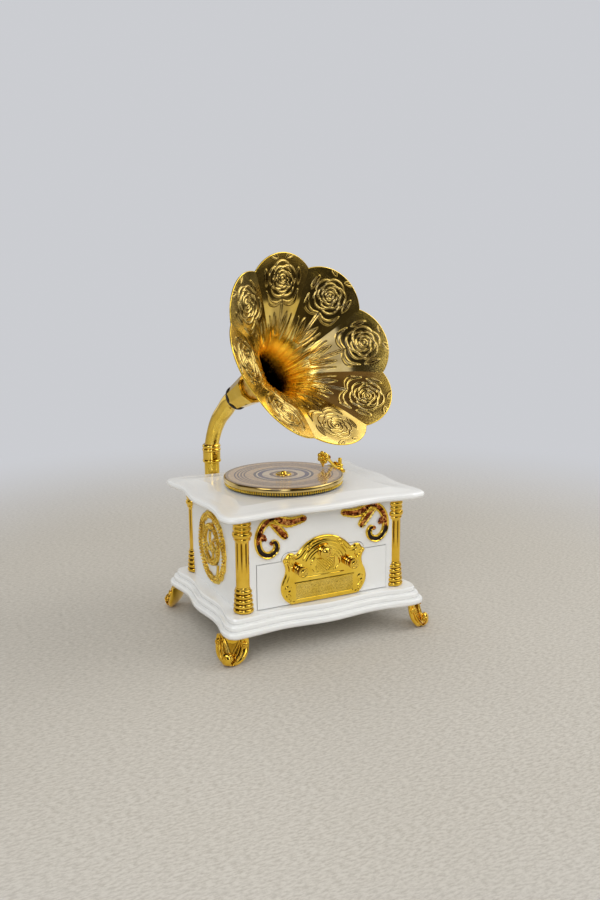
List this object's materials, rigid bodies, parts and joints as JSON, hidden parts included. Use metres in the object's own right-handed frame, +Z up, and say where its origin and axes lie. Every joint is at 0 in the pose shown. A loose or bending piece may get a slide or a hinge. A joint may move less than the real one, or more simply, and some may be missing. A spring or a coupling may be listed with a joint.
{
  "type": "gramophone music box",
  "caption": "Wind-up music box shaped like a horn gramophone: drawer cabinet on scrolled feet, turning record on a platter, swinging tonearm, side crank and a petalled horn.",
  "frame": {"origin": "on the ground, under the centre of the cabinet", "axes": "+X to the right along the drawer front, +Y to the back, +Z up; the drawer opens along -Y"},
  "size_m": [0.1472, 0.1372, 0.23],
  "materials": {
    "white_lacquer": "polished white",
    "plain_plastic": "plain",
    "gold_plate": "gold plated",
    "printed_disc": "glossy with printed rings",
    "dark_ring": "satin",
    "brass": "machined",
    "steel": "ground",
    "cast_bed": "as cast"
  },
  "bodies": {
    "cabinet": {"base_plinth": "white_lacquer", "case_screws": "steel", "foot_front_left": "gold_plate", "foot_front_right": "gold_plate", "foot_rear_left": "gold_plate", "foot_rear_right": "gold_plate", "cabinet_shell": "white_lacquer", "column_front_left": "gold_plate", "column_front_right": "gold_plate", "column_rear_left": "gold_plate", "column_rear_right": "gold_plate", "inner_shelf": "plain_plastic", "drawer_runners": "plain_plastic", "top_deck": "white_lacquer", "scroll_bracket_left": "gold_plate", "scroll_bracket_right": "gold_plate", "side_medallion_left": "gold_plate", "side_medallion_right": "gold_plate", "spindle_bushing": "brass", "movement_bedplate": "cast_bed", "small_screws": "steel", "left_bearing_plate": "brass", "middle_bearing_plate": "brass", "right_bearing_plate": "brass", "tone_comb": "steel", "crank_bushing": "brass", "tonearm_bushing": "gold_plate", "horn_bracket": "gold_plate", "horn_socket": "gold_plate"},
    "drawer": {"drawer_front": "white_lacquer", "drawer_tray": "plain_plastic", "drawer_plaque": "gold_plate", "drawer_knob_left": "gold_plate", "drawer_knob_right": "gold_plate"},
    "turntable": {"turntable_platter": "gold_plate", "record_disc": "printed_disc", "spindle_cap": "gold_plate", "turntable_spindle": "steel"},
    "cylinder": {"crown_wheel": "brass", "pin_cylinder": "brass", "cylinder_arbor": "steel", "spring_barrel": "brass", "barrel_cover": "brass", "mainspring": "steel", "drive_wheel": "brass"},
    "governor_idler": {"governor_idler": "brass"},
    "governor_fan": {"governor_fan": "brass"},
    "crank": {"winding_arbor": "steel", "ratchet_wheel": "steel", "crank_arm": "gold_plate"},
    "crank_knob": {"crank_knob": "gold_plate"},
    "click_pawl": {"click_pawl": "steel"},
    "tonearm": {"tonearm_shaft": "steel", "tonearm": "gold_plate", "sound_box": "gold_plate", "stop_lever": "brass"},
    "horn": {"horn_stem": "gold_plate", "neck_washer": "dark_ring", "horn_ferrule": "gold_plate", "horn_bell": "gold_plate"}
  },
  "joints": [
    {"name": "drawer_slide", "type": "slide", "parent": "cabinet", "child": "drawer", "axis": [0, -1, 0], "range_m": [0, 0.055]},
    {"name": "turntable_spin", "type": "hinge", "parent": "cabinet", "child": "turntable", "pos_m": [-0.0054, 0, 0.086], "axis": [0, 0, 1], "continuous": true},
    {"name": "cylinder_spin", "type": "hinge", "parent": "cabinet", "child": "cylinder", "pos_m": [0, 0, 0.07], "axis": [1, 0, 0], "continuous": true},
    {"name": "governor_idler_spin", "type": "hinge", "parent": "cabinet", "child": "governor_idler", "pos_m": [-0.015, 0.011, 0.07], "axis": [1, 0, 0], "continuous": true},
    {"name": "governor_fan_spin", "type": "hinge", "parent": "cabinet", "child": "governor_fan", "pos_m": [-0.015, 0.0215, 0.07], "axis": [1, 0, 0], "continuous": true},
    {"name": "crank_spin", "type": "hinge", "parent": "cabinet", "child": "crank", "pos_m": [0.052, 0, 0.07], "axis": [1, 0, 0], "continuous": true},
    {"name": "crank_knob_spin", "type": "hinge", "parent": "crank", "child": "crank_knob", "pos_m": [0.0625, 0.0045, 0.06221], "axis": [1, 0, 0], "continuous": true},
    {"name": "click_lift", "type": "hinge", "parent": "cabinet", "child": "click_pawl", "pos_m": [0.0401, 0.0122, 0.073], "axis": [1, 0, 0], "range_deg": [0, 15], "stiffness_Nm_per_rad": 0.0002, "springref_deg": -11.46},
    {"name": "tonearm_swing", "type": "hinge", "parent": "cabinet", "child": "tonearm", "pos_m": [0.041, 0.012, 0.086], "axis": [0, 0, 1], "range_deg": [-12, 30]},
    {"name": "horn_swivel", "type": "hinge", "parent": "cabinet", "child": "horn", "pos_m": [-0.0306, 0.06, 0.1], "axis": [0, 0, 1], "range_deg": [-60, 60]}
  ],
  "couplings": [
    {"joint": "cylinder_spin", "follows": "turntable_spin", "ratio": -0.33333},
    {"joint": "governor_idler_spin", "follows": "turntable_spin", "ratio": 0.88889},
    {"joint": "governor_fan_spin", "follows": "turntable_spin", "ratio": -2.2222}
  ]
}
